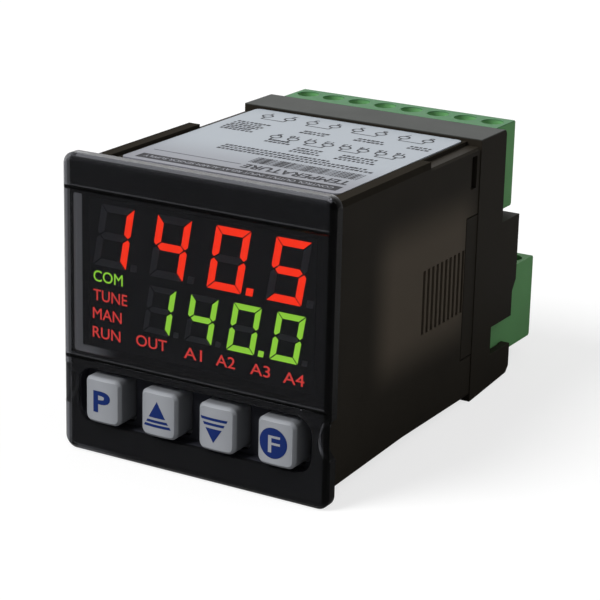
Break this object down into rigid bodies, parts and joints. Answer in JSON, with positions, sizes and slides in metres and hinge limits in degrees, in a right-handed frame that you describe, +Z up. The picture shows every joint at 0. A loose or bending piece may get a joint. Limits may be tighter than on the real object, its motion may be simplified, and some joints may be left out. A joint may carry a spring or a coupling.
{
  "type": "pid temperature controller",
  "caption": "Square panel-mounting temperature controller with a smoked display front, push keys and pull-off screw terminals.",
  "frame": {"origin": "centre of the square panel cut-out, on the plane of the panel's front face where the back of the bezel lies", "axes": "+Y into the panel towards the terminals, so the display faces -Y; +Z up; +X to the right as the display is read"},
  "size_m": [0.048, 0.0792, 0.048],
  "materials": {
    "smoked_clear": "polished smoke-tinted clear moulding",
    "black_plastic": "fine matte moulding",
    "case_black": "satin brown-black moulding",
    "display_black": "smooth black face",
    "red_lit": "lit red segments",
    "green_lit": "lit yellow-green segments",
    "segment_dark": "unlit segments",
    "key_white": "matte off-white moulding",
    "switch_black": "matte",
    "terminal_green": "satin green nylon",
    "zinc_steel": "zinc plated",
    "tinned_metal": "tin plated",
    "board_green": "solder mask",
    "label_film": "printed film",
    "relay_black": "smooth",
    "ferrite": "matte ferrite",
    "coil_tape": "polyester tape",
    "capacitor_sleeve": "shrink sleeve",
    "chip_black": "moulded epoxy"
  },
  "bodies": {
    "housing": {"front_bezel": "smoked_clear", "front_frame": "black_plastic", "key_switches": "switch_black", "upper_digits_lit": "red_lit", "lower_digits_lit": "green_lit", "upper_digits_dark": "segment_dark", "lower_digits_dark": "segment_dark", "display_module": "display_black", "display_pins": "tinned_metal", "front_board": "board_green", "case_tube": "case_black", "rating_label": "label_film", "rear_cover": "case_black", "transformer_core": "ferrite", "transformer_coil": "coil_tape", "mains_capacitor": "capacitor_sleeve", "filter_capacitors": "capacitor_sleeve", "processor_chip": "chip_black", "relay_1": "relay_black", "relay_2": "relay_black", "upper_header": "terminal_green", "upper_header_pins": "tinned_metal", "upper_board": "board_green", "upper_board_link": "chip_black", "lower_header": "terminal_green", "lower_header_pins": "tinned_metal", "lower_board": "board_green", "lower_board_link": "chip_black"},
    "button_p": {"key_p": "key_white", "plunger_p": "switch_black"},
    "button_up": {"key_up": "key_white", "plunger_up": "switch_black"},
    "button_down": {"key_down": "key_white", "plunger_down": "switch_black"},
    "button_f": {"key_f": "key_white", "plunger_f": "switch_black"},
    "upper_terminal_plug": {"upper_plug": "terminal_green", "upper_plug_screws": "zinc_steel", "upper_plug_cages": "zinc_steel"},
    "lower_terminal_plug": {"lower_plug": "terminal_green", "lower_plug_screws": "zinc_steel", "lower_plug_cages": "zinc_steel"}
  },
  "joints": [
    {"name": "press_p", "type": "slide", "parent": "housing", "child": "button_p", "axis": [0, 1, 0], "range_m": [0, 0.0008], "stiffness_N_per_m": 1500, "springref_m": -0.0005},
    {"name": "press_up", "type": "slide", "parent": "housing", "child": "button_up", "axis": [0, 1, 0], "range_m": [0, 0.0008], "stiffness_N_per_m": 1500, "springref_m": -0.0005},
    {"name": "press_down", "type": "slide", "parent": "housing", "child": "button_down", "axis": [0, 1, 0], "range_m": [0, 0.0008], "stiffness_N_per_m": 1500, "springref_m": -0.0005},
    {"name": "press_f", "type": "slide", "parent": "housing", "child": "button_f", "axis": [0, 1, 0], "range_m": [0, 0.0008], "stiffness_N_per_m": 1500, "springref_m": -0.0005},
    {"name": "upper_plug_pull", "type": "slide", "parent": "housing", "child": "upper_terminal_plug", "axis": [0, 1, 0], "range_m": [0, 0.012]},
    {"name": "lower_plug_pull", "type": "slide", "parent": "housing", "child": "lower_terminal_plug", "axis": [0, 1, 0], "range_m": [0, 0.012]}
  ]
}
